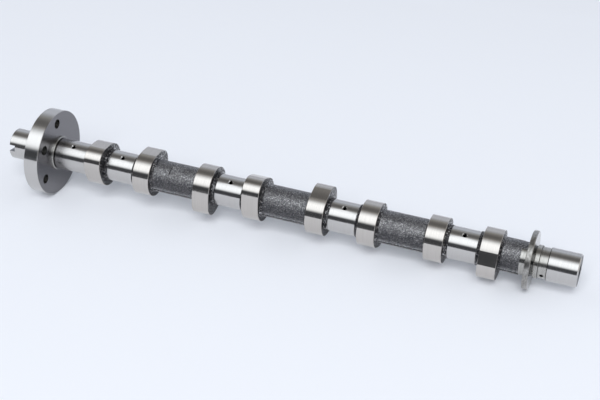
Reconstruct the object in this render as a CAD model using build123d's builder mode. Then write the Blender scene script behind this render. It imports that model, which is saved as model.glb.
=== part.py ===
from build123d import *
import math
import os

# Camshaft of a four-cylinder engine with two lobes for each cylinder. One casting carries
# the lobes, the ground journals, a drive flange, a slotted nose and a thrust collar.
# A pressed plug closes the oil gallery that is drilled along the axis.
# X runs along the axis from the flange's inner face (x = 0) towards the thrust collar.
# Angles are read about X from straight up (+Z), turning towards the front (-Y).

# Journals that the bearings carry, and the cast shaft between them
journal_diameter = 25.0
journal_width = 21.2
first_journal_x = 61.0
cylinder_pitch = 92.8
cylinder_count = 4
cast_diameter = 25.6

# Lobes, one on each side of every cylinder's journal
lobe_offset = 20.6
lobe_width = 13.8
base_circle_diameter = 34.7
cam_lift = 4.1
nose_radius = 12.0
flank_radius = 58.0
first_lobe_angle = 52.5
lobe_separation = 109.5
firing_order = [1, 3, 4, 2]

# Drive flange, with the hub ring that stands off its inner face
flange_diameter = 69.2
flange_thickness = 12.0
hub_step = 1.2
hub_length = 2.2
bolt_circle_diameter = 52.0
bolt_hole_diameter = 6.8
bolt_count = 3
first_bolt_angle = 0.0
locating_hole_distance = 24.8
locating_hole_angle = 60.0

# Front journal between the hub ring and the first lobe
front_journal_width = 27.0
front_oil_hole_x = 17.0
relief_width = 0.8
relief_depth = 0.8

# Drive nose and the slot across its end
nose_length = 26.7
nose_diameter = 24.6
slot_width = 5.0
slot_depth = 5.0
slot_angle = 82.0
centre_hole_diameter = 2.5
centre_mouth_diameter = 4.6
centre_hole_depth = 6.0
centre_mouth_angle = 60.0

# Thrust collar, and the end journal with its oil feed groove
collar_offset = 47.4
collar_thickness = 4.0
collar_diameter = 44.2
collar_band_width = 4.9
undercut_width = 1.3
undercut_depth = 1.2
feed_land_width = 3.8
feed_groove_width = 5.9
feed_groove_depth = 0.85
end_journal_width = 22.5

# Oil drillings, and the plug that closes the gallery
oil_hole_diameter = 3.0
oil_hole_mouth_diameter = 4.2
oil_hole_mouth_angle = 90.0
oil_hole_angle = 24.0
feed_hole_angle = 113.0
gallery_diameter = 7.0
gallery_end_x = 12.0
plug_diameter = 8.0
plug_length = 6.0
plug_recess = 1.2
plug_bevel = 0.5
mouth_bevel = 0.8

# Casting details: parting ridges, flared lobe roots and the flat patch on the first barrel
parting_angle = 126.0
parting_ridge_height = 0.4
parting_ridge_width = 1.6
root_flare = 1.6
patch_x = 108.0
patch_length = 10.0
patch_depth = 1.2
patch_angle = 33.0

# Edge breaks left by turning and grinding
flange_bevel = 0.3
nose_bevel = 0.3
journal_bevel = 0.5
end_bevel = 0.8
lobe_bevel = 0.2
hole_bevel = 0.5

journal_radius = journal_diameter / 2
cast_radius = cast_diameter / 2
hub_diameter = journal_diameter + 2 * hub_step
relief_diameter = journal_diameter - 2 * relief_depth
undercut_diameter = journal_diameter - 2 * undercut_depth
feed_groove_diameter = journal_diameter - 2 * feed_groove_depth
front_journal_start = hub_length + relief_width
front_journal_end = front_journal_start + front_journal_width
nose_end_x = -flange_thickness - nose_length
journal_centres = [first_journal_x + i * cylinder_pitch for i in range(cylinder_count)]
collar_x = journal_centres[-1] + collar_offset
collar_end_x = collar_x + collar_thickness
feed_land_x = collar_end_x + undercut_width
feed_groove_x = feed_land_x + feed_land_width
end_journal_x = feed_groove_x + feed_groove_width
shaft_end_x = end_journal_x + end_journal_width


def across(x):
    """Plane across the shaft at x: its own x points up and angles turn to the front."""
    return Plane(origin=(x, 0, 0), x_dir=(0, 0, 1), z_dir=(1, 0, 0))


def radial(x, angle, distance):
    """Plane that faces outward at the given angle and distance from the axis."""
    outward = Vector(0, -math.sin(math.radians(angle)), math.cos(math.radians(angle)))
    return Plane(origin=Vector(x, 0, 0) + outward * distance, x_dir=(1, 0, 0), z_dir=outward)


def rings(part, stations, diameter):
    """Round edges of this diameter about the axis, at any of the given stations."""
    circles = part.edges().filter_by(GeomType.CIRCLE)
    on_axis = circles.filter_by(lambda e: abs(e.radius - diameter / 2) < 0.01)
    return on_axis.filter_by(lambda e: min(abs(e.arc_center.X - x) for x in stations) < 0.01)


# One lobe, centred on x = 0 with its nose straight up.
# The outline is four arcs that meet tangentially: base circle, two flanks and the nose.
base_radius = base_circle_diameter / 2
nose_centre = base_radius + cam_lift - nose_radius
base_reach = flank_radius - base_radius
nose_reach = flank_radius - nose_radius
flank_height = (base_reach**2 - nose_reach**2 + nose_centre**2) / (2 * nose_centre)
flank_side = math.sqrt(base_reach**2 - flank_height**2)
base_end = math.degrees(math.atan2(-flank_height, flank_side))
nose_end = math.degrees(math.atan2(nose_centre - flank_height, flank_side))

with BuildPart() as lobe:
    with BuildSketch(Plane.YZ.offset(-lobe_width / 2)):
        with BuildLine():
            CenterArc((0, 0), base_radius, 180 - base_end, 180 + 2 * base_end)
            CenterArc((-flank_side, flank_height), flank_radius, base_end, nose_end - base_end)
            CenterArc((0, nose_centre), nose_radius, nose_end, 180 - 2 * nose_end)
            CenterArc((flank_side, flank_height), flank_radius, 180 - nose_end, nose_end - base_end)
        make_face()
    extrude(amount=lobe_width)
    lobe_sides = lobe.faces().filter_by(GeomType.PLANE)
    chamfer(lobe_sides.edges(), length=lobe_bevel)

# Each cylinder's lobes turn back from cylinder 1 by its place in the firing order
lobe_places = []
for number, journal_x in enumerate(journal_centres, start=1):
    phase = first_lobe_angle - firing_order.index(number) * 360 / cylinder_count
    lobe_places.append(Location((journal_x - lobe_offset, 0, 0), (phase, 0, 0)))
    lobe_places.append(Location((journal_x + lobe_offset, 0, 0), (phase - lobe_separation, 0, 0)))

with BuildPart() as camshaft:
    # Turned body: each step is the x where it ends and its diameter
    steps = [
        (-flange_thickness, nose_diameter),
        (0, flange_diameter),
        (hub_length, hub_diameter),
        (front_journal_start, relief_diameter),
        (front_journal_end, journal_diameter),
    ]
    for centre in journal_centres:
        steps.append((centre - journal_width / 2, cast_diameter))
        steps.append((centre + journal_width / 2, journal_diameter))
    steps += [
        (collar_x - collar_band_width, cast_diameter),
        (collar_x, journal_diameter),
        (collar_end_x, collar_diameter),
        (feed_land_x, undercut_diameter),
        (feed_groove_x, journal_diameter),
        (end_journal_x, feed_groove_diameter),
        (shaft_end_x, journal_diameter),
    ]
    outline = [(nose_end_x, 0)]
    step_start = nose_end_x
    for step_end, diameter in steps:
        outline += [(step_start, diameter / 2), (step_end, diameter / 2)]
        step_start = step_end
    outline.append((shaft_end_x, 0))
    # The half section lies below the axis, so the seams of the round faces miss the oil holes
    with BuildSketch(-Plane.XZ):
        with BuildLine():
            Polyline(*outline, close=True)
        make_face()
    revolve(axis=Axis.X)

    # Edge breaks of the turned body
    chamfer(rings(camshaft, [-flange_thickness, 0], flange_diameter), length=flange_bevel)
    chamfer(rings(camshaft, [nose_end_x], nose_diameter), length=nose_bevel)
    journal_edges = [front_journal_start, feed_land_x, feed_groove_x, end_journal_x]
    chamfer(rings(camshaft, journal_edges, journal_diameter), length=journal_bevel)
    chamfer(rings(camshaft, [shaft_end_x], journal_diameter), length=end_bevel)
    chamfer(rings(camshaft, [hub_length], hub_diameter), length=journal_bevel)
    chamfer(rings(camshaft, [collar_x, collar_end_x], collar_diameter), length=journal_bevel)

    with Locations(*lobe_places):
        add(lobe.part)

    # Barrels run from each cylinder's second lobe to the next lobe, and the last to the collar's
    # band. The cast roots flare out where a barrel meets a lobe.
    lobe_reach = lobe_offset + lobe_width / 2
    barrel_starts = [x + lobe_reach for x in journal_centres]
    barrel_ends = [x - lobe_reach for x in journal_centres[1:]]
    chamfer(rings(camshaft, barrel_starts + barrel_ends, cast_diameter), length=root_flare)

    # Parting ridges along each barrel, on the two sides where the mould halves met
    barrel_ends.append(collar_x - collar_band_width)
    for barrel_start, barrel_end in zip(barrel_starts, barrel_ends):
        with BuildSketch(across(barrel_start)):
            with PolarLocations(cast_radius, 2, start_angle=parting_angle):
                Rectangle(2 * parting_ridge_height, parting_ridge_width)
        extrude(amount=barrel_end - barrel_start)

    # Flat patch on the first barrel
    with BuildSketch(radial(patch_x, patch_angle, cast_radius - patch_depth)):
        Rectangle(patch_length, cast_diameter)
    extrude(amount=cast_diameter, mode=Mode.SUBTRACT)

    # Bolt holes, and the locating hole between two of them, a little nearer to the axis
    with Locations(across(0)):
        with PolarLocations(bolt_circle_diameter / 2, bolt_count, start_angle=first_bolt_angle):
            Hole(bolt_hole_diameter / 2, depth=flange_thickness)
        with PolarLocations(locating_hole_distance, 1, start_angle=locating_hole_angle):
            Hole(bolt_hole_diameter / 2, depth=flange_thickness)
    chamfer(rings(camshaft, [-flange_thickness, 0], bolt_hole_diameter), length=hole_bevel)

    # Slot across the nose, and the centre hole in its floor
    with BuildSketch(across(nose_end_x)):
        Rectangle(2 * nose_diameter, slot_width, rotation=slot_angle)
    extrude(amount=slot_depth, mode=Mode.SUBTRACT)
    with Locations(Plane(origin=(nose_end_x + slot_depth, 0, 0), z_dir=(-1, 0, 0))):
        CounterSinkHole(centre_hole_diameter / 2, centre_mouth_diameter / 2,
                        depth=centre_hole_depth, counter_sink_angle=centre_mouth_angle)

    # Oil gallery from the collar end, with the seat of its plug
    with Locations(across(shaft_end_x)):
        CounterBoreHole(gallery_diameter / 2, plug_diameter / 2, plug_length + plug_recess,
                        depth=shaft_end_x - gallery_end_x)
    chamfer(rings(camshaft, [shaft_end_x], plug_diameter), length=mouth_bevel)

    # Oil holes from the gallery to each journal, and the feed hole in the end groove
    for oil_x in [front_oil_hole_x] + journal_centres:
        with Locations(radial(oil_x, oil_hole_angle, journal_radius)):
            CounterSinkHole(oil_hole_diameter / 2, oil_hole_mouth_diameter / 2,
                            depth=journal_radius, counter_sink_angle=oil_hole_mouth_angle)
    feed_x = feed_groove_x + feed_groove_width / 2
    with Locations(radial(feed_x, feed_hole_angle, feed_groove_diameter / 2)):
        Hole(oil_hole_diameter / 2, depth=feed_groove_diameter / 2)

# Plug pressed into the mouth of the gallery
with BuildPart() as gallery_plug:
    with BuildSketch(across(shaft_end_x - plug_recess - plug_length)):
        Circle(plug_diameter / 2)
    extrude(amount=plug_length)
    chamfer(gallery_plug.faces().sort_by(Axis.X)[-1].edges(), length=plug_bevel)

camshaft.part.label = "camshaft"
gallery_plug.part.label = "gallery_plug"

os.makedirs("parts", exist_ok=True)
export_step(camshaft.part, "parts/camshaft.step")
export_step(gallery_plug.part, "parts/gallery_plug.step")
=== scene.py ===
import bpy
import math
from mathutils import Matrix, Vector


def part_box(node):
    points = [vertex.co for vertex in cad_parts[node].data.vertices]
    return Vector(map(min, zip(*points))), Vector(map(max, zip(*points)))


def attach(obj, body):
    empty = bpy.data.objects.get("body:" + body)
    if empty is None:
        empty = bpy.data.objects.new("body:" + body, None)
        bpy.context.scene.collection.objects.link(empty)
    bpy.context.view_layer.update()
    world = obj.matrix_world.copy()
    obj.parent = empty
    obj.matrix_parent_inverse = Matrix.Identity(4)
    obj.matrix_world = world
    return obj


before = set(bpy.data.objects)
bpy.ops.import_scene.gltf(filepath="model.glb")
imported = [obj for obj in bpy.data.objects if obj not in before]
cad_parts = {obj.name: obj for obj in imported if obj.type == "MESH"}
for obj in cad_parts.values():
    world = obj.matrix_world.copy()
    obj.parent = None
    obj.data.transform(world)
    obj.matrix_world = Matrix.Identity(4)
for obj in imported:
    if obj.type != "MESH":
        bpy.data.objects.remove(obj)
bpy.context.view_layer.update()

# Camshaft of a four-cylinder engine. All lengths are metres. X runs along the shaft, the front
# is towards -Y and Z is up. Angles round the shaft run from straight up towards the front.
MM = 0.001

# Stations along the shaft
FLANGE_BACK = -12 * MM
FLANGE_FACE = 0 * MM
HUB_END = 2.2 * MM
HUB_GROOVE_END = 3.0 * MM
FIRST_LOBE_START = 33.5 * MM
JOURNAL_CENTRES = [61 * MM, 153.8 * MM, 246.6 * MM, 339.4 * MM]
COLLAR_BAND_START = 381.9 * MM
COLLAR_START = 386.8 * MM
COLLAR_END = 390.8 * MM
UNDERCUT_END = 392.1 * MM
FEED_GROOVE_START = 395.9 * MM
END_JOURNAL_START = 401.8 * MM
LAST_GROOVE_END = END_JOURNAL_START + 1 * MM
SHAFT_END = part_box("camshaft")[1][0]

# Along the shaft from a journal's centre: where the journal ends, and both ends of the lobe
JOURNAL_HALF = 10.6 * MM
LOBE_INNER = 13.7 * MM
LOBE_OUTER = 27.5 * MM

# Radii that tell surfaces apart
GALLERY_RADIUS = 4.9 * MM
JOURNAL_RADIUS = 12.5 * MM
TURNED_LEAST_RADIUS = JOURNAL_RADIUS - 1.5 * MM
LOBE_LEAST_RADIUS = 16.6 * MM

# How far a face has to look along the shaft to be flat, a bevel or a slope, how far outward to
# be more than a hole's wall, and the reach of the painted shade line at a groove's edge
FLAT_LEAN = 0.95
BEVEL_LEAN = 0.65
SLOPE_LEAN = 0.3
OUTWARD_LEAST = 0.6
SHADE_LINE_HALF = 0.6 * MM
TINY = 0.05 * MM

# The part of the band beside the collar that the tool left as cast, as angles round the shaft
CAST_BAND_FROM = -120.0
CAST_BAND_TO = 28.0

# Threaded holes in the flange: angle round the shaft, and distance from its axis
FLANGE_HOLES = [(0, 26 * MM), (120, 26 * MM), (240, 26 * MM), (60, 24.8 * MM)]
FLANGE_HOLE_RADIUS = 3.4 * MM
HOLE_RIM_REACH = 1.2 * FLANGE_HOLE_RADIUS

# Thread in those holes. Its half widths at root and crest are in pitches.
THREAD_PITCH = 1.25 * MM
THREAD_DEPTH = 0.34 * MM
THREAD_ROOT_HALF = 0.42
THREAD_CREST_HALF = 0.06
THREAD_STEPS = 28

# Colours as linear red, green and blue
GROUND_DARK = (0.530, 0.515, 0.500)
GROUND_LIGHT = (0.590, 0.572, 0.555)
LOBE_DARK = (0.530, 0.500, 0.468)
LOBE_LIGHT = (0.595, 0.560, 0.525)
TURNED_DARK = (0.400, 0.388, 0.362)
TURNED_LIGHT = (0.540, 0.525, 0.495)
MATTE_DARK = (0.240, 0.229, 0.211)
MATTE_LIGHT = (0.500, 0.488, 0.468)
# Painted shade: dark machined iron in the grooves and along a groove's edge
SHADED_GROOVE_DARK = (0.060, 0.058, 0.054)
SHADED_GROOVE_LIGHT = (0.150, 0.146, 0.138)
FACED_DARK = (0.150, 0.146, 0.153)
FACED_LIGHT = (0.250, 0.244, 0.254)
END_DARK = (0.055, 0.056, 0.060)
END_LIGHT = (0.130, 0.131, 0.138)
CAST_COLOUR = (0.012, 0.013, 0.018)
CHEEK_COLOUR = (0.006, 0.006, 0.008)
SPARK_COLOUR = (0.108, 0.100, 0.094)
# Painted shade: near-black for the walls and rims of holes and grooves, dark for the thread in the
# flange's holes
BORE_SHADE_COLOUR = (0.006, 0.006, 0.005)
THREAD_SHADE_COLOUR = (0.034, 0.033, 0.030)
FLOOR_COLOUR = (0.835, 0.865, 0.925)
WORLD_COLOUR = (0.930, 0.955, 1.000)

# Nearly all of a noise texture lies between these two values
NOISE_LOW = 0.30
NOISE_HIGH = 0.70

# Machined surfaces: how far fine lines spread reflections along the shaft, the lines' depth,
# and how often the gloss drifts in a metre
LINE_SPREAD = 0.95
LINE_DEPTH = 0.02 * MM
LINE_DETAIL = 3.0
DRIFT_SCALE = 90.0

# Rings on the faced surfaces: how many in a metre, how strong and how deep
RING_SCALE = 2600.0
RING_STRENGTH = 0.25
RING_DEPTH = 0.03 * MM

# Drilled walls: gloss, drill rings in a metre, and how much lighter the rings get
BORE_METALLIC = 0.9
BORE_ROUGHNESS = 0.42
BORE_RING_SCALE = 3000.0
BORE_BREAK_SCALE = 300.0
BORE_LIGHTER = 1.7

# Cast skin: grains in a metre on the barrels and on the lobes' cheeks, blotches in a metre and
# their strength, and how far a grain tips the surface
CAST_GRAIN = 3400.0
CHEEK_GRAIN = 1900.0
BLOTCH_SCALE = 230.0
BLOTCH_LOW = 0.90
BLOTCH_HIGH = 1.10
GRAIN_TILT = 0.45
OXIDE_IOR = 2.4
OXIDE_TINT = (1.000, 0.980, 0.980)

# How light the cast skin of the barrels is at each angle round the shaft, all painted light and
# shade: painted reflection lighter on top, painted shade dark low in front, and a painted
# reflection of the floor lightest on the trimmed flash at the parting line
CAST_PAINTED_LIGHT = [
    (-70, 0.80), (-54, 1.20), (-36, 1.15), (-12, 1.25), (0, 1.15), (25, 1.05), (45, 1.12),
    (62, 1.22), (70, 0.94), (82, 0.50), (103, 0.36), (109, 0.80), (116, 1.70), (124, 2.70),
    (129, 1.00), (150, 0.80),
]

# The same for the lobes' cheeks and the necks beside them: painted reflection lighter behind, and
# a painted glint lighter low in front
CHEEK_PAINTED_LIGHT = [
    (-120, 0.90), (-95, 1.60), (-60, 2.40), (-25, 2.20), (-8, 1.10), (60, 0.90), (104, 0.90),
    (112, 2.20), (118, 2.00), (124, 1.00), (150, 0.80),
]

# The boundaries between those bands of painted light and shade wander: waves in a metre, and
# radians either way
WANDER_SCALE = 420.0
WANDER_REACH = 0.05

# Camera of the reference view: where it looks, its angles and distance, and its lens
CAMERA_AIM = Vector((208.1, 2.9, 4.6)) * MM
CAMERA_AZIMUTH = 19.126
CAMERA_ELEVATION = 30.977
CAMERA_ROLL = 2.611
CAMERA_DISTANCE = 967.1 * MM
CAMERA_LENS = 75.66
CAMERA_FAR = 100.0
SENSOR_WIDTH = 36.0

# The floor lies just under the rims of the flange and the collar
FLANGE_RADIUS = 34.6 * MM
COLLAR_RADIUS = 22.1 * MM
FLOOR_TILT = math.atan((FLANGE_RADIUS - COLLAR_RADIUS) / COLLAR_END)
FLOOR_GAP = 0.1 * MM
FLOOR_SIZE = 12.0
FLOOR_ROUGHNESS = 0.75
FLOOR_SHEEN = 0.2

# Light: an even world, one large soft lamp above and in front, and a tent of light panels that
# only reflections show. The tent's reach is in degrees to either side of straight up.
WORLD_STRENGTH = 0.50
KEY_PLACE = Vector((0.90, -3.78, 3.92))
KEY_SIZE = 3.20
KEY_POWER = 254.0
TENT_RADIUS = 0.55
TENT_REACH = 93.5
TENT_CENTRE = 0.2
TENT_HALF_LENGTH = 0.7
TENT_SEGMENTS = 90
TENT_STRENGTH = 3.0

# Panels of the tent: angle round the shaft, how bright it is there, and its tint
COOL = (0.935, 1.000, 1.120)
CLEAR = (0.950, 1.000, 1.050)
PLAIN = (1.000, 1.000, 1.000)
TENT_PANELS = [
    (-93, 0.70, COOL), (-82, 0.65, COOL), (-66, 0.70, COOL), (-56, 0.74, COOL),
    (-49, 0.64, COOL), (-40, 0.46, CLEAR), (-32, 0.34, PLAIN), (-24, 0.235, PLAIN),
    (-16, 0.175, PLAIN), (-9, 0.18, PLAIN), (-2, 0.22, PLAIN), (5, 0.47, PLAIN),
    (13, 0.95, CLEAR), (21, 1.55, CLEAR), (29, 1.85, CLEAR), (44, 1.80, CLEAR), (52, 1.70, CLEAR),
    (58, 1.30, CLEAR), (63, 0.70, CLEAR), (67, 0.16, COOL), (72, 0.075, COOL),
    (84, 0.080, COOL), (91, 0.130, COOL),
]

# How bright the tent's two ends are: beyond the flange, and beyond the collar
TENT_END_LEVELS = [0.50, 0.80]


def node(tree, kind, **settings):
    """Adds a shader node and sets its properties."""
    added = tree.nodes.new(kind)
    for name, value in settings.items():
        setattr(added, name, value)
    return added


def new_material(name, metallic, roughness):
    """A material with a Principled shader, its node tree, and the shader itself."""
    material = bpy.data.materials.new(name)
    material.use_nodes = True
    shader = material.node_tree.nodes["Principled BSDF"]
    shader.inputs["Metallic"].default_value = metallic
    shader.inputs["Roughness"].default_value = roughness
    return material, material.node_tree, shader


def stretched_place(tree, along, across):
    """The place on the object, scaled by one number along the shaft and another across it."""
    place = node(tree, "ShaderNodeTexCoord")
    scaled = node(tree, "ShaderNodeVectorMath", operation="MULTIPLY")
    scaled.inputs[1].default_value = (along, across, across)
    tree.links.new(place.outputs["Object"], scaled.inputs[0])
    return scaled.outputs["Vector"]


def noise(tree, vector, scale, detail=2.0):
    """A noise value between 0 and 1."""
    made = node(tree, "ShaderNodeTexNoise")
    made.inputs["Scale"].default_value = scale
    made.inputs["Detail"].default_value = detail
    tree.links.new(vector, made.inputs["Vector"])
    return made.outputs["Fac"]


def remap(tree, value, low, high, to_low, to_high):
    """A value moved from one range to another, and kept inside it."""
    ranged = node(tree, "ShaderNodeMapRange")
    ranged.inputs["From Min"].default_value = low
    ranged.inputs["From Max"].default_value = high
    ranged.inputs["To Min"].default_value = to_low
    ranged.inputs["To Max"].default_value = to_high
    tree.links.new(value, ranged.inputs["Value"])
    return ranged.outputs["Result"]


def spread_noise(tree, value, to_low, to_high):
    """A noise value spread over the whole of a range."""
    return remap(tree, value, NOISE_LOW, NOISE_HIGH, to_low, to_high)


def multiply(tree, first, second):
    """The product of two values."""
    product = node(tree, "ShaderNodeMath", operation="MULTIPLY")
    tree.links.new(first, product.inputs[0])
    tree.links.new(second, product.inputs[1])
    return product.outputs["Value"]


def blend_colours(tree, factor, first, second):
    """A colour between two others."""
    mixed = node(tree, "ShaderNodeMix", data_type="RGBA")
    mixed.inputs["A"].default_value = (*first, 1.0)
    mixed.inputs["B"].default_value = (*second, 1.0)
    tree.links.new(factor, mixed.inputs["Factor"])
    return mixed.outputs["Result"]


def bump(tree, height, strength, distance):
    """A normal tipped by a height."""
    tipped = node(tree, "ShaderNodeBump")
    tipped.inputs["Strength"].default_value = strength
    tipped.inputs["Distance"].default_value = distance
    tree.links.new(height, tipped.inputs["Height"])
    return tipped.outputs["Normal"]


def angle_from_top(tree):
    """The angle round the shaft in radians, from straight up towards the front."""
    place = node(tree, "ShaderNodeTexCoord")
    split = node(tree, "ShaderNodeSeparateXYZ")
    tree.links.new(place.outputs["Object"], split.inputs["Vector"])
    front = node(tree, "ShaderNodeMath", operation="MULTIPLY")
    front.inputs[1].default_value = -1.0
    tree.links.new(split.outputs["Y"], front.inputs[0])
    angle = node(tree, "ShaderNodeMath", operation="ARCTAN2")
    tree.links.new(front.outputs["Value"], angle.inputs[0])
    tree.links.new(split.outputs["Z"], angle.inputs[1])
    return angle.outputs["Value"]


def distance_from_axis(tree):
    """The distance from the shaft's axis."""
    place = node(tree, "ShaderNodeTexCoord")
    split = node(tree, "ShaderNodeSeparateXYZ")
    tree.links.new(place.outputs["Object"], split.inputs["Vector"])
    flat = node(tree, "ShaderNodeCombineXYZ")
    tree.links.new(split.outputs["Y"], flat.inputs["X"])
    tree.links.new(split.outputs["Z"], flat.inputs["Y"])
    distance = node(tree, "ShaderNodeVectorMath", operation="LENGTH")
    tree.links.new(flat.outputs["Vector"], distance.inputs[0])
    return distance.outputs["Value"]


def ramp_by_angle(tree, angle, reach, stops):
    """A colour for each angle between -reach and reach degrees, from stops of angle and colour."""
    along = remap(tree, angle, -math.radians(reach), math.radians(reach), 0.0, 1.0)
    ramp = node(tree, "ShaderNodeValToRGB")
    made = ramp.color_ramp.elements
    made.remove(made[1])
    for number, (degrees, colour) in enumerate(stops):
        place = (degrees / reach + 1) / 2
        stop = made[0] if number == 0 else made.new(place)
        stop.position = place
        stop.color = (*colour, 1.0)
    tree.links.new(along, ramp.inputs["Fac"])
    return ramp.outputs["Color"]


def machined_metal(name, dark, light, roughness, drift, line_scale, line_bump, line_break=30.0):
    """Bare machined iron: fine lines run round the shaft, and tone and gloss drift a little."""
    material, tree, shader = new_material(name, 1.0, roughness)
    shader.inputs["Anisotropic"].default_value = LINE_SPREAD
    along = node(tree, "ShaderNodeCombineXYZ")
    along.inputs["X"].default_value = 1.0
    tree.links.new(along.outputs["Vector"], shader.inputs["Tangent"])
    lines = noise(tree, stretched_place(tree, line_scale, line_break), 1.0, LINE_DETAIL)
    tone = spread_noise(tree, lines, 0.0, 1.0)
    tree.links.new(blend_colours(tree, tone, dark, light), shader.inputs["Base Color"])
    patches = noise(tree, stretched_place(tree, DRIFT_SCALE, DRIFT_SCALE), 1.0)
    gloss = spread_noise(tree, patches, roughness - drift, roughness + drift)
    tree.links.new(gloss, shader.inputs["Roughness"])
    tree.links.new(bump(tree, lines, line_bump, LINE_DEPTH), shader.inputs["Normal"])
    return material


def faced_metal(name, dark, light, roughness):
    """Satin face of a turned disc: rings about the shaft's axis."""
    material, tree, shader = new_material(name, 1.0, roughness)
    rings = node(tree, "ShaderNodeTexNoise", noise_dimensions="1D")
    rings.inputs["Scale"].default_value = RING_SCALE
    tree.links.new(distance_from_axis(tree), rings.inputs["W"])
    tone = spread_noise(tree, rings.outputs["Fac"], 0.0, 1.0)
    tree.links.new(blend_colours(tree, tone, dark, light), shader.inputs["Base Color"])
    tipped = bump(tree, rings.outputs["Fac"], RING_STRENGTH, RING_DEPTH)
    tree.links.new(tipped, shader.inputs["Normal"])
    return material


def bore_metal(name, colour):
    """Near-black metal painted as shade down in holes and grooves, with drill rings."""
    material, tree, shader = new_material(name, BORE_METALLIC, BORE_ROUGHNESS)
    lines = noise(tree, stretched_place(tree, BORE_RING_SCALE, BORE_BREAK_SCALE), 1.0)
    light = tuple(BORE_LIGHTER * part for part in colour)
    tree.links.new(blend_colours(tree, lines, colour, light), shader.inputs["Base Color"])
    return material


def grain_normal(tree, grain_colour):
    """The surface's normal, tipped a little by the colour of each grain."""
    centred = node(tree, "ShaderNodeVectorMath", operation="SUBTRACT")
    centred.inputs[1].default_value = (0.5, 0.5, 0.5)
    tree.links.new(grain_colour, centred.inputs[0])
    scaled = node(tree, "ShaderNodeVectorMath", operation="SCALE")
    scaled.inputs["Scale"].default_value = GRAIN_TILT
    tree.links.new(centred.outputs["Vector"], scaled.inputs[0])
    smooth = node(tree, "ShaderNodeNewGeometry")
    tipped = node(tree, "ShaderNodeVectorMath", operation="ADD")
    tree.links.new(smooth.outputs["Normal"], tipped.inputs[0])
    tree.links.new(scaled.outputs["Vector"], tipped.inputs[1])
    unit = node(tree, "ShaderNodeVectorMath", operation="NORMALIZE")
    tree.links.new(tipped.outputs["Vector"], unit.inputs[0])
    return unit.outputs["Vector"]


def painted_light_round_shaft(tree, place, light_and_shade):
    """Painted light and shade: a factor by the angle round the shaft, with boundaries that wander
    a little.
    """
    waves = noise(tree, place, WANDER_SCALE)
    wander = spread_noise(tree, waves, -WANDER_REACH, WANDER_REACH)
    angle = node(tree, "ShaderNodeMath", operation="ADD")
    tree.links.new(angle_from_top(tree), angle.inputs[0])
    tree.links.new(wander, angle.inputs[1])
    top = max(tone for _, tone in light_and_shade)
    stops = [(degrees, (tone / top, tone / top, tone / top)) for degrees, tone in light_and_shade]
    level = ramp_by_angle(tree, angle.outputs["Value"], 180, stops)
    return remap(tree, level, 0.0, 1.0, 0.0, top)


def cast_iron(name, colour, grain, gloss_low, gloss_high, spark_from, roughness, light_and_shade):
    """Blasted sand-cast skin under its dark oxide. Each grain has its own tilt and its own
    gloss, and those above spark_from are glossier or worn towards bare metal. On top of that the
    gloss carries painted light and shade by the angle round the shaft."""
    material, tree, shader = new_material(name, 0.0, roughness)
    shader.inputs["IOR"].default_value = OXIDE_IOR
    shader.inputs["Specular Tint"].default_value = (*OXIDE_TINT, 1.0)
    place = stretched_place(tree, 1.0, 1.0)
    grains = node(tree, "ShaderNodeTexVoronoi")
    grains.inputs["Scale"].default_value = grain
    tree.links.new(place, grains.inputs["Vector"])
    pick = node(tree, "ShaderNodeSeparateXYZ")
    tree.links.new(grains.outputs["Color"], pick.inputs["Vector"])
    bare = remap(tree, pick.outputs["Y"], spark_from, 1.0, 0.0, 1.0)
    tree.links.new(blend_colours(tree, bare, colour, SPARK_COLOUR), shader.inputs["Base Color"])
    gloss = remap(tree, pick.outputs["X"], spark_from, 1.0, gloss_low, gloss_high)
    blotch = spread_noise(tree, noise(tree, place, BLOTCH_SCALE), BLOTCH_LOW, BLOTCH_HIGH)
    gloss = multiply(tree, gloss, blotch)
    # Painted reflection and painted shade by the angle round the shaft
    gloss = multiply(tree, gloss, painted_light_round_shaft(tree, place, light_and_shade))
    tree.links.new(gloss, shader.inputs["Specular IOR Level"])
    tree.links.new(grain_normal(tree, grains.outputs["Color"]), shader.inputs["Normal"])
    return material


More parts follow.
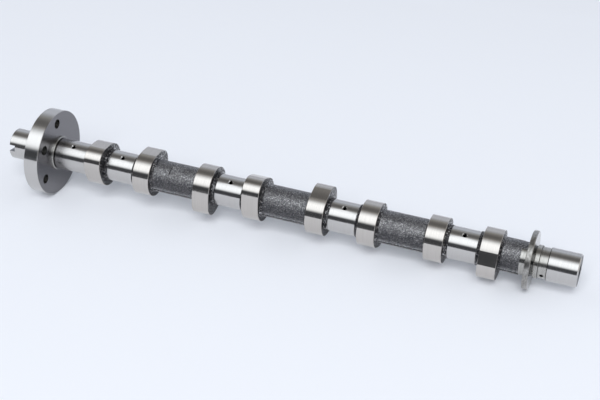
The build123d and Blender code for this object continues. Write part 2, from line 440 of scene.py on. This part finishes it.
# Finishes of the surfaces. The groove, neck, bore and thread finishes are painted dark as shade,
# and the cast skins carry painted light and shade by angle. Line, break and grain scales are
# counts in a metre.
FINISHES = {
    "ground": machined_metal("ground_iron", GROUND_DARK, GROUND_LIGHT, roughness=0.17,
                             drift=0.03, line_scale=5200.0, line_bump=0.10),
    "rim": machined_metal("rim_iron", GROUND_DARK, GROUND_LIGHT, roughness=0.13,
                          drift=0.02, line_scale=4200.0, line_bump=0.10),
    "lobe": machined_metal("lobe_iron", LOBE_DARK, LOBE_LIGHT, roughness=0.14,
                           drift=0.02, line_scale=3600.0, line_bump=0.12),
    "turned": machined_metal("turned_iron", TURNED_DARK, TURNED_LIGHT, roughness=0.27,
                             drift=0.04, line_scale=2600.0, line_bump=0.35),
    "matte": machined_metal("matte_iron", MATTE_DARK, MATTE_LIGHT, roughness=0.36,
                            drift=0.04, line_scale=900.0, line_bump=0.50, line_break=600.0),
    # Machined iron painted dark as shade in the grooves
    "shaded_groove": machined_metal("groove_iron", SHADED_GROOVE_DARK, SHADED_GROOVE_LIGHT, roughness=0.20,
                             drift=0.03, line_scale=2600.0, line_bump=0.20),
    "faced": faced_metal("faced_iron", FACED_DARK, FACED_LIGHT, roughness=0.26),
    "end_face": faced_metal("end_face_iron", END_DARK, END_LIGHT, roughness=0.40),
    "thrust": faced_metal("thrust_iron", GROUND_DARK, GROUND_LIGHT, roughness=0.20),
    "cast": cast_iron("cast_skin", CAST_COLOUR, CAST_GRAIN, gloss_low=0.24, gloss_high=2.10,
                      spark_from=0.76, roughness=0.40, light_and_shade=CAST_PAINTED_LIGHT),
    "cheek": cast_iron("cast_cheek", CHEEK_COLOUR, CHEEK_GRAIN, gloss_low=0.08, gloss_high=2.10,
                       spark_from=0.80, roughness=0.38, light_and_shade=CHEEK_PAINTED_LIGHT),
    # The necks: cheek skin with less gloss, painted dark as shade between journal and lobe
    "shaded_neck": cast_iron("neck_skin", CHEEK_COLOUR, CHEEK_GRAIN, gloss_low=0.05, gloss_high=0.90,
                      spark_from=0.80, roughness=0.36, light_and_shade=CHEEK_PAINTED_LIGHT),
    # Painted shade in holes and grooves, and on the thread down in the flange's holes
    "shaded_bore": bore_metal("shaded_drilled_wall", BORE_SHADE_COLOUR),
    "thread": bore_metal("shaded_thread_crest", THREAD_SHADE_COLOUR),
}
FINISH_ORDER = list(FINISHES)


def flange_end_finish(x):
    """Finish of the round faces from the nose to the first lobe."""
    if FLANGE_BACK < x < FLANGE_FACE:
        return "rim"
    if FLANGE_FACE <= x < HUB_END:
        return "turned"
    # The relief groove behind the hub is painted dark as shade
    if HUB_END <= x < HUB_GROOVE_END:
        return "shaded_groove"
    return "ground"


def collar_end_finish(x, angle, lean):
    """Finish of the round faces from the band beside the collar to the shaft's end."""
    # Painted shade: a near-black line at the end journal's edge, a dark line at the feed groove's
    # edge, and a dark undercut beside the collar
    if x > END_JOURNAL_START:
        return "shaded_bore" if x < END_JOURNAL_START + SHADE_LINE_HALF and lean > SLOPE_LEAN else "ground"
    if x > UNDERCUT_END:
        on_line = abs(x - FEED_GROOVE_START) < SHADE_LINE_HALF and lean > SLOPE_LEAN
        return "shaded_groove" if on_line else "turned"
    if x > COLLAR_END:
        return "shaded_groove"
    if x > COLLAR_START:
        return "matte"
    return "cast" if CAST_BAND_FROM < angle < CAST_BAND_TO else "turned"


def round_face_finish(x, radius, angle, lean):
    """Finish of the faces that run round the shaft, from where they are and how they lean."""
    if x < FIRST_LOBE_START:
        return flange_end_finish(x)
    if x > COLLAR_BAND_START:
        return collar_end_finish(x, angle, lean)
    for centre in JOURNAL_CENTRES:
        away = abs(x - centre)
        if away < JOURNAL_HALF:
            return "ground"
        if away < LOBE_INNER:
            # The neck after each journal carries painted shade
            return "cheek" if x < centre else "shaded_neck"
        if away < LOBE_OUTER and radius > LOBE_LEAST_RADIUS:
            return "lobe"
    return "cheek" if lean > SLOPE_LEAN and radius > JOURNAL_RADIUS else "cast"


def flat_face_finish(x):
    """Finish of the faces that look along the shaft."""
    if x < FIRST_LOBE_START - TINY or abs(x - COLLAR_START) < TINY:
        return "faced"
    if abs(x - COLLAR_END) < TINY:
        return "thrust"
    if x > SHAFT_END - TINY:
        return "end_face"
    if x > COLLAR_END:
        # The walls of the undercut and the feed groove are painted near-black as shade
        return "shaded_bore" if x < LAST_GROOVE_END else "faced"
    return "cheek"


def near_flange_hole(centre):
    """True on the wall or the rim of a hole in the flange."""
    for angle, distance in FLANGE_HOLES:
        turned = math.radians(angle)
        dy = centre.y + distance * math.sin(turned)
        dz = centre.z - distance * math.cos(turned)
        if math.hypot(dy, dz) < HOLE_RIM_REACH:
            return True
    return False


def finish_of(centre, normal):
    """Finish of one face of the shaft, from its centre and the way it looks."""
    x = centre.x
    lean = abs(normal.x)
    radius = math.hypot(centre.y, centre.z)
    outward = (centre.y * normal.y + centre.z * normal.z) / max(radius, TINY)
    # Holes get the near-black bore finish: painted shade on their walls and on the rims of the
    # flange's holes
    if radius < GALLERY_RADIUS and FLANGE_BACK < x < SHAFT_END - TINY:
        return "shaded_bore"
    if lean > FLAT_LEAN:
        return flat_face_finish(x)
    if FLANGE_BACK - TINY < x < FLANGE_FACE + TINY and near_flange_hole(centre):
        return "shaded_bore"
    if x < FLANGE_BACK and outward < OUTWARD_LEAST:
        return "faced"
    if x > FLANGE_FACE and radius < TURNED_LEAST_RADIUS:
        return "shaded_bore"
    if outward < OUTWARD_LEAST and lean < BEVEL_LEAN:
        return "shaded_bore"
    angle = math.degrees(math.atan2(-centre.y, centre.z))
    return round_face_finish(x, radius, angle, lean)


def dress_shaft():
    """Gives every face of the shaft its finish: that of the real surface, with painted shade in
    its holes, grooves and necks.
    """
    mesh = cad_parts["camshaft"].data
    mesh.materials.clear()
    for finish in FINISH_ORDER:
        mesh.materials.append(FINISHES[finish])
    for polygon in mesh.polygons:
        polygon.material_index = FINISH_ORDER.index(finish_of(polygon.center, polygon.normal))


def dress_plug():
    """The plug is plain turned steel."""
    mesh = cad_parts["gallery_plug"].data
    mesh.materials.clear()
    mesh.materials.append(FINISHES["turned"])


def thread_ridge(number, angle, distance):
    """The thread in one hole of the flange, as a ridge that winds through it."""
    turned = math.radians(angle)
    hole_y = -distance * math.sin(turned)
    hole_z = distance * math.cos(turned)
    turns = int(-FLANGE_BACK / THREAD_PITCH) - 1
    start_x = FLANGE_BACK + THREAD_PITCH
    crest_radius = FLANGE_HOLE_RADIUS - THREAD_DEPTH
    profile = [(FLANGE_HOLE_RADIUS, -THREAD_ROOT_HALF), (crest_radius, -THREAD_CREST_HALF),
               (crest_radius, THREAD_CREST_HALF), (FLANGE_HOLE_RADIUS, THREAD_ROOT_HALF)]
    vertices = []
    faces = []
    for step in range(turns * THREAD_STEPS + 1):
        wind = 2 * math.pi * step / THREAD_STEPS
        x = start_x + THREAD_PITCH * step / THREAD_STEPS
        for radius, shift in profile:
            vertices.append((x + shift * THREAD_PITCH, hole_y + radius * math.cos(wind),
                             hole_z + radius * math.sin(wind)))
        if step:
            new = len(profile) * step
            old = new - len(profile)
            for corner in range(len(profile) - 1):
                faces.append((old + corner, old + corner + 1, new + corner + 1, new + corner))
    mesh = bpy.data.meshes.new(f"thread_{number}")
    mesh.from_pydata(vertices, [], faces)
    mesh.materials.append(FINISHES["thread"])
    ridge = bpy.data.objects.new(f"thread_{number}", mesh)
    bpy.context.scene.collection.objects.link(ridge)
    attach(ridge, "root")


def floor():
    """Pale floor, tipped so that the shaft lies on its flange and its collar."""
    mesh = bpy.data.meshes.new("floor")
    half = FLOOR_SIZE / 2
    corners = [(-half, -half, 0), (half, -half, 0), (half, half, 0), (-half, half, 0)]
    mesh.from_pydata(corners, [], [(0, 1, 2, 3)])
    material, _, shader = new_material("paper", 0.0, FLOOR_ROUGHNESS)
    shader.inputs["Base Color"].default_value = (*FLOOR_COLOUR, 1.0)
    shader.inputs["Specular IOR Level"].default_value = FLOOR_SHEEN
    mesh.materials.append(material)
    sheet = bpy.data.objects.new("floor", mesh)
    sheet.location = (0, 0, -FLANGE_RADIUS - FLOOR_GAP)
    sheet.rotation_euler = (0, -FLOOR_TILT, 0)
    bpy.context.scene.collection.objects.link(sheet)


def glow_material(name):
    """A material that only glows, its node tree, and its emission shader."""
    material = bpy.data.materials.new(name)
    material.use_nodes = True
    tree = material.node_tree
    tree.nodes.clear()
    glow = node(tree, "ShaderNodeEmission")
    output = node(tree, "ShaderNodeOutputMaterial")
    tree.links.new(glow.outputs["Emission"], output.inputs["Surface"])
    return material, tree, glow


def panel_glow():
    """Glow of the tent's curved wall, brighter and darker by the angle round the shaft."""
    material, tree, glow = glow_material("tent_panels")
    stops = [(degrees, tuple(level / TENT_STRENGTH * part for part in tint))
             for degrees, level, tint in TENT_PANELS]
    colour = ramp_by_angle(tree, angle_from_top(tree), TENT_REACH, stops)
    glow.inputs["Strength"].default_value = TENT_STRENGTH
    tree.links.new(colour, glow.inputs["Color"])
    return material


def end_glow(number, level):
    """Even glow of one end of the tent."""
    material, _, glow = glow_material(f"tent_end_{number}")
    glow.inputs["Color"].default_value = (level, level, level, 1.0)
    return material


def tent():
    """Half tunnel of light panels over the shaft, seen only in its reflections."""
    mesh = bpy.data.meshes.new("tent")
    vertices = []
    faces = []
    for step in range(TENT_SEGMENTS + 1):
        turned = math.radians(TENT_REACH * (2 * step / TENT_SEGMENTS - 1))
        for x in (-TENT_HALF_LENGTH, TENT_HALF_LENGTH):
            vertices.append((x, -TENT_RADIUS * math.sin(turned), TENT_RADIUS * math.cos(turned)))
        if step:
            last = 2 * step
            faces.append((last - 2, last - 1, last + 1, last))
    faces.append(tuple(range(0, len(vertices), 2)))
    faces.append(tuple(range(1, len(vertices), 2)))
    mesh.from_pydata(vertices, [], faces)
    mesh.materials.append(panel_glow())
    for number, level in enumerate(TENT_END_LEVELS, start=1):
        mesh.materials.append(end_glow(number, level))
        mesh.polygons[TENT_SEGMENTS + number - 1].material_index = number
    shell = bpy.data.objects.new("tent", mesh)
    shell.location = (TENT_CENTRE, 0, 0)
    shell.visible_camera = False
    shell.visible_diffuse = False
    shell.visible_shadow = False
    shell.visible_transmission = False
    bpy.context.scene.collection.objects.link(shell)


def key_lamp():
    """One large soft lamp above and in front. Reflections show the tent in its place."""
    lamp = bpy.data.lights.new("key", "AREA")
    lamp.shape = "SQUARE"
    lamp.size = KEY_SIZE
    lamp.energy = KEY_POWER
    holder = bpy.data.objects.new("key", lamp)
    holder.location = KEY_PLACE
    holder.rotation_euler = (CAMERA_AIM - KEY_PLACE).to_track_quat("-Z", "Y").to_euler()
    holder.visible_glossy = False
    holder.visible_camera = False
    bpy.context.scene.collection.objects.link(holder)


def even_world():
    """Even pale light from all round."""
    world = bpy.data.worlds.new("world")
    world.use_nodes = True
    sky = world.node_tree.nodes["Background"]
    sky.inputs["Color"].default_value = (*WORLD_COLOUR, 1.0)
    sky.inputs["Strength"].default_value = WORLD_STRENGTH
    bpy.context.scene.world = world


def camera():
    """Camera at the reference view: from the front and above, a little towards the collar end."""
    azimuth = math.radians(CAMERA_AZIMUTH)
    elevation = math.radians(CAMERA_ELEVATION)
    roll = math.radians(CAMERA_ROLL)
    ahead = Vector((-math.sin(azimuth) * math.cos(elevation),
                    math.cos(azimuth) * math.cos(elevation), -math.sin(elevation)))
    level = Vector((math.cos(azimuth), math.sin(azimuth), 0))
    above = level.cross(ahead)
    right = level * math.cos(roll) + above * math.sin(roll)
    up = above * math.cos(roll) - level * math.sin(roll)
    lens = bpy.data.cameras.new("camera")
    lens.lens = CAMERA_LENS
    lens.sensor_width = SENSOR_WIDTH
    lens.sensor_fit = "HORIZONTAL"
    lens.clip_end = CAMERA_FAR
    holder = bpy.data.objects.new("camera", lens)
    turn = Matrix((right, up, -ahead)).transposed().to_4x4()
    holder.matrix_world = Matrix.Translation(CAMERA_AIM - ahead * CAMERA_DISTANCE) @ turn
    bpy.context.scene.collection.objects.link(holder)
    bpy.context.scene.camera = holder


dress_shaft()
dress_plug()
for number, (angle, distance) in enumerate(FLANGE_HOLES, start=1):
    thread_ridge(number, angle, distance)
floor()
tent()
key_lamp()
even_world()
camera()
bpy.context.scene.view_settings.view_transform = "Standard"
